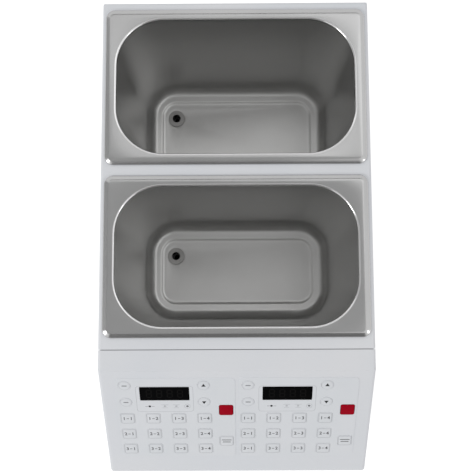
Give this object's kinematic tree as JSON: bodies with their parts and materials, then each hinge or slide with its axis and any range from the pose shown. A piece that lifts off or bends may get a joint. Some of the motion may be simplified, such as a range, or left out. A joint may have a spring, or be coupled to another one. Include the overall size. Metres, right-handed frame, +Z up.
{
  "type": "fructose dispenser",
  "caption": "Countertop fructose syrup dispenser with open steel pans in a white deck, a sloping keypad panel, gear pumps, spouts and a drip tray.",
  "frame": {"origin": "on the table plane, under the middle of the machine's bounding box", "axes": "+X to the operator's right, +Y to the back of the machine, +Z up; the keypad panel and spouts face -Y"},
  "size_m": [0.273, 0.491, 0.4502],
  "materials": {
    "white_paint": "satin powder coat",
    "keypad_film": "matt white film",
    "stop_red": "satin red",
    "display_black": "glossy smoked window",
    "board_green": "solder mask",
    "pan_steel": "satin drawn stainless",
    "tray_steel": "brushed stainless",
    "fitting_steel": "turned stainless",
    "pump_alloy": "machined stainless",
    "gear_steel": "ground steel",
    "motor_paint": "dark zinc and paint",
    "hose": "milky silicone",
    "foot_rubber": "matt",
    "black_plastic": "fine texture"
  },
  "bodies": {
    "cabinet": {"base_pan": "white_paint", "body_shell": "white_paint", "rear_cover": "white_paint", "top_deck": "white_paint", "control_panel": "white_paint", "keypad_faces": "keypad_film", "display_windows": "display_black", "circuit_boards": "board_green", "rear_tank": "pan_steel", "front_tank": "pan_steel", "tank_outlets": "fitting_steel", "syrup_hoses": "hose", "pump_bodies": "pump_alloy", "pump_motors": "motor_paint", "spouts": "fitting_steel", "feet": "foot_rubber", "power_inlet": "black_plastic"},
    "front_drive": {"front_drive_gear": "gear_steel"},
    "front_idler": {"front_idler_gear": "gear_steel"},
    "rear_drive": {"rear_drive_gear": "gear_steel"},
    "rear_idler": {"rear_idler_gear": "gear_steel"},
    "tray": {"drip_tray": "tray_steel"},
    "grid": {"drip_grid": "tray_steel"},
    "rocker": {"power_rocker": "black_plastic"},
    "left_dose_key_1_1_body": {"left_dose_key_1_1": "keypad_film"},
    "left_dose_key_1_2_body": {"left_dose_key_1_2": "keypad_film"},
    "left_dose_key_1_3_body": {"left_dose_key_1_3": "keypad_film"},
    "left_dose_key_1_4_body": {"left_dose_key_1_4": "keypad_film"},
    "left_dose_key_2_1_body": {"left_dose_key_2_1": "keypad_film"},
    "left_dose_key_2_2_body": {"left_dose_key_2_2": "keypad_film"},
    "left_dose_key_2_3_body": {"left_dose_key_2_3": "keypad_film"},
    "left_dose_key_2_4_body": {"left_dose_key_2_4": "keypad_film"},
    "left_dose_key_3_1_body": {"left_dose_key_3_1": "keypad_film"},
    "left_dose_key_3_2_body": {"left_dose_key_3_2": "keypad_film"},
    "left_dose_key_3_3_body": {"left_dose_key_3_3": "keypad_film"},
    "left_dose_key_3_4_body": {"left_dose_key_3_4": "keypad_film"},
    "left_upper_round_key_body": {"left_upper_round_key": "keypad_film"},
    "left_lower_round_key_body": {"left_lower_round_key": "keypad_film"},
    "left_up_key_body": {"left_up_key": "keypad_film"},
    "left_down_key_body": {"left_down_key": "keypad_film"},
    "left_stop_key_body": {"left_stop_key": "stop_red"},
    "left_feed_key_body": {"left_feed_key": "keypad_film"},
    "right_dose_key_1_1_body": {"right_dose_key_1_1": "keypad_film"},
    "right_dose_key_1_2_body": {"right_dose_key_1_2": "keypad_film"},
    "right_dose_key_1_3_body": {"right_dose_key_1_3": "keypad_film"},
    "right_dose_key_1_4_body": {"right_dose_key_1_4": "keypad_film"},
    "right_dose_key_2_1_body": {"right_dose_key_2_1": "keypad_film"},
    "right_dose_key_2_2_body": {"right_dose_key_2_2": "keypad_film"},
    "right_dose_key_2_3_body": {"right_dose_key_2_3": "keypad_film"},
    "right_dose_key_2_4_body": {"right_dose_key_2_4": "keypad_film"},
    "right_dose_key_3_1_body": {"right_dose_key_3_1": "keypad_film"},
    "right_dose_key_3_2_body": {"right_dose_key_3_2": "keypad_film"},
    "right_dose_key_3_3_body": {"right_dose_key_3_3": "keypad_film"},
    "right_dose_key_3_4_body": {"right_dose_key_3_4": "keypad_film"},
    "right_upper_round_key_body": {"right_upper_round_key": "keypad_film"},
    "right_lower_round_key_body": {"right_lower_round_key": "keypad_film"},
    "right_up_key_body": {"right_up_key": "keypad_film"},
    "right_down_key_body": {"right_down_key": "keypad_film"},
    "right_stop_key_body": {"right_stop_key": "stop_red"},
    "right_feed_key_body": {"right_feed_key": "keypad_film"}
  },
  "joints": [
    {"name": "left_dose_key_1_1_press", "type": "slide", "parent": "cabinet", "child": "left_dose_key_1_1_body", "axis": [0, 0.6561, -0.7547], "range_m": [0, 0.0004], "stiffness_N_per_m": 3000},
    {"name": "left_dose_key_1_2_press", "type": "slide", "parent": "cabinet", "child": "left_dose_key_1_2_body", "axis": [0, 0.6561, -0.7547], "range_m": [0, 0.0004], "stiffness_N_per_m": 3000},
    {"name": "left_dose_key_1_3_press", "type": "slide", "parent": "cabinet", "child": "left_dose_key_1_3_body", "axis": [0, 0.6561, -0.7547], "range_m": [0, 0.0004], "stiffness_N_per_m": 3000},
    {"name": "left_dose_key_1_4_press", "type": "slide", "parent": "cabinet", "child": "left_dose_key_1_4_body", "axis": [0, 0.6561, -0.7547], "range_m": [0, 0.0004], "stiffness_N_per_m": 3000},
    {"name": "left_dose_key_2_1_press", "type": "slide", "parent": "cabinet", "child": "left_dose_key_2_1_body", "axis": [0, 0.6561, -0.7547], "range_m": [0, 0.0004], "stiffness_N_per_m": 3000},
    {"name": "left_dose_key_2_2_press", "type": "slide", "parent": "cabinet", "child": "left_dose_key_2_2_body", "axis": [0, 0.6561, -0.7547], "range_m": [0, 0.0004], "stiffness_N_per_m": 3000},
    {"name": "left_dose_key_2_3_press", "type": "slide", "parent": "cabinet", "child": "left_dose_key_2_3_body", "axis": [0, 0.6561, -0.7547], "range_m": [0, 0.0004], "stiffness_N_per_m": 3000},
    {"name": "left_dose_key_2_4_press", "type": "slide", "parent": "cabinet", "child": "left_dose_key_2_4_body", "axis": [0, 0.6561, -0.7547], "range_m": [0, 0.0004], "stiffness_N_per_m": 3000},
    {"name": "left_dose_key_3_1_press", "type": "slide", "parent": "cabinet", "child": "left_dose_key_3_1_body", "axis": [0, 0.6561, -0.7547], "range_m": [0, 0.0004], "stiffness_N_per_m": 3000},
    {"name": "left_dose_key_3_2_press", "type": "slide", "parent": "cabinet", "child": "left_dose_key_3_2_body", "axis": [0, 0.6561, -0.7547], "range_m": [0, 0.0004], "stiffness_N_per_m": 3000},
    {"name": "left_dose_key_3_3_press", "type": "slide", "parent": "cabinet", "child": "left_dose_key_3_3_body", "axis": [0, 0.6561, -0.7547], "range_m": [0, 0.0004], "stiffness_N_per_m": 3000},
    {"name": "left_dose_key_3_4_press", "type": "slide", "parent": "cabinet", "child": "left_dose_key_3_4_body", "axis": [0, 0.6561, -0.7547], "range_m": [0, 0.0004], "stiffness_N_per_m": 3000},
    {"name": "left_upper_round_key_press", "type": "slide", "parent": "cabinet", "child": "left_upper_round_key_body", "axis": [0, 0.6561, -0.7547], "range_m": [0, 0.0004], "stiffness_N_per_m": 3000},
    {"name": "left_lower_round_key_press", "type": "slide", "parent": "cabinet", "child": "left_lower_round_key_body", "axis": [0, 0.6561, -0.7547], "range_m": [0, 0.0004], "stiffness_N_per_m": 3000},
    {"name": "left_up_key_press", "type": "slide", "parent": "cabinet", "child": "left_up_key_body", "axis": [0, 0.6561, -0.7547], "range_m": [0, 0.0004], "stiffness_N_per_m": 3000},
    {"name": "left_down_key_press", "type": "slide", "parent": "cabinet", "child": "left_down_key_body", "axis": [0, 0.6561, -0.7547], "range_m": [0, 0.0004], "stiffness_N_per_m": 3000},
    {"name": "left_stop_key_press", "type": "slide", "parent": "cabinet", "child": "left_stop_key_body", "axis": [0, 0.6561, -0.7547], "range_m": [0, 0.0004], "stiffness_N_per_m": 3000},
    {"name": "left_feed_key_press", "type": "slide", "parent": "cabinet", "child": "left_feed_key_body", "axis": [0, 0.6561, -0.7547], "range_m": [0, 0.0004], "stiffness_N_per_m": 3000},
    {"name": "right_dose_key_1_1_press", "type": "slide", "parent": "cabinet", "child": "right_dose_key_1_1_body", "axis": [0, 0.6561, -0.7547], "range_m": [0, 0.0004], "stiffness_N_per_m": 3000},
    {"name": "right_dose_key_1_2_press", "type": "slide", "parent": "cabinet", "child": "right_dose_key_1_2_body", "axis": [0, 0.6561, -0.7547], "range_m": [0, 0.0004], "stiffness_N_per_m": 3000},
    {"name": "right_dose_key_1_3_press", "type": "slide", "parent": "cabinet", "child": "right_dose_key_1_3_body", "axis": [0, 0.6561, -0.7547], "range_m": [0, 0.0004], "stiffness_N_per_m": 3000},
    {"name": "right_dose_key_1_4_press", "type": "slide", "parent": "cabinet", "child": "right_dose_key_1_4_body", "axis": [0, 0.6561, -0.7547], "range_m": [0, 0.0004], "stiffness_N_per_m": 3000},
    {"name": "right_dose_key_2_1_press", "type": "slide", "parent": "cabinet", "child": "right_dose_key_2_1_body", "axis": [0, 0.6561, -0.7547], "range_m": [0, 0.0004], "stiffness_N_per_m": 3000},
    {"name": "right_dose_key_2_2_press", "type": "slide", "parent": "cabinet", "child": "right_dose_key_2_2_body", "axis": [0, 0.6561, -0.7547], "range_m": [0, 0.0004], "stiffness_N_per_m": 3000},
    {"name": "right_dose_key_2_3_press", "type": "slide", "parent": "cabinet", "child": "right_dose_key_2_3_body", "axis": [0, 0.6561, -0.7547], "range_m": [0, 0.0004], "stiffness_N_per_m": 3000},
    {"name": "right_dose_key_2_4_press", "type": "slide", "parent": "cabinet", "child": "right_dose_key_2_4_body", "axis": [0, 0.6561, -0.7547], "range_m": [0, 0.0004], "stiffness_N_per_m": 3000},
    {"name": "right_dose_key_3_1_press", "type": "slide", "parent": "cabinet", "child": "right_dose_key_3_1_body", "axis": [0, 0.6561, -0.7547], "range_m": [0, 0.0004], "stiffness_N_per_m": 3000},
    {"name": "right_dose_key_3_2_press", "type": "slide", "parent": "cabinet", "child": "right_dose_key_3_2_body", "axis": [0, 0.6561, -0.7547], "range_m": [0, 0.0004], "stiffness_N_per_m": 3000},
    {"name": "right_dose_key_3_3_press", "type": "slide", "parent": "cabinet", "child": "right_dose_key_3_3_body", "axis": [0, 0.6561, -0.7547], "range_m": [0, 0.0004], "stiffness_N_per_m": 3000},
    {"name": "right_dose_key_3_4_press", "type": "slide", "parent": "cabinet", "child": "right_dose_key_3_4_body", "axis": [0, 0.6561, -0.7547], "range_m": [0, 0.0004], "stiffness_N_per_m": 3000},
    {"name": "right_upper_round_key_press", "type": "slide", "parent": "cabinet", "child": "right_upper_round_key_body", "axis": [0, 0.6561, -0.7547], "range_m": [0, 0.0004], "stiffness_N_per_m": 3000},
    {"name": "right_lower_round_key_press", "type": "slide", "parent": "cabinet", "child": "right_lower_round_key_body", "axis": [0, 0.6561, -0.7547], "range_m": [0, 0.0004], "stiffness_N_per_m": 3000},
    {"name": "right_up_key_press", "type": "slide", "parent": "cabinet", "child": "right_up_key_body", "axis": [0, 0.6561, -0.7547], "range_m": [0, 0.0004], "stiffness_N_per_m": 3000},
    {"name": "right_down_key_press", "type": "slide", "parent": "cabinet", "child": "right_down_key_body", "axis": [0, 0.6561, -0.7547], "range_m": [0, 0.0004], "stiffness_N_per_m": 3000},
    {"name": "right_stop_key_press", "type": "slide", "parent": "cabinet", "child": "right_stop_key_body", "axis": [0, 0.6561, -0.7547], "range_m": [0, 0.0004], "stiffness_N_per_m": 3000},
    {"name": "right_feed_key_press", "type": "slide", "parent": "cabinet", "child": "right_feed_key_body", "axis": [0, 0.6561, -0.7547], "range_m": [0, 0.0004], "stiffness_N_per_m": 3000},
    {"name": "front_drive_spin", "type": "hinge", "parent": "cabinet", "child": "front_drive", "pos_m": [-0.075, -0.03909, 0.0475], "axis": [1, 0, 0], "continuous": true},
    {"name": "front_idler_spin", "type": "hinge", "parent": "cabinet", "child": "front_idler", "pos_m": [-0.075, -0.03909, 0.0655], "axis": [1, 0, 0], "continuous": true},
    {"name": "rear_drive_spin", "type": "hinge", "parent": "cabinet", "child": "rear_drive", "pos_m": [0.075, 0.13412, 0.0475], "axis": [1, 0, 0], "continuous": true},
    {"name": "rear_idler_spin", "type": "hinge", "parent": "cabinet", "child": "rear_idler", "pos_m": [0.075, 0.13412, 0.0655], "axis": [1, 0, 0], "continuous": true},
    {"name": "drip_tray_slide", "type": "slide", "parent": "cabinet", "child": "tray", "axis": [0, -1, 0], "range_m": [0, 0.12]},
    {"name": "drip_grid_lift", "type": "slide", "parent": "tray", "child": "grid", "axis": [0, 0, 1], "range_m": [0, 0.06]},
    {"name": "power_rocker_tilt", "type": "hinge", "parent": "cabinet", "child": "rocker", "pos_m": [0.082, 0.24111, 0.096], "axis": [1, 0, 0], "range_deg": [0, 18]}
  ],
  "couplings": [
    {"joint": "front_idler_spin", "follows": "front_drive_spin", "ratio": -1},
    {"joint": "rear_idler_spin", "follows": "rear_drive_spin", "ratio": -1}
  ]
}
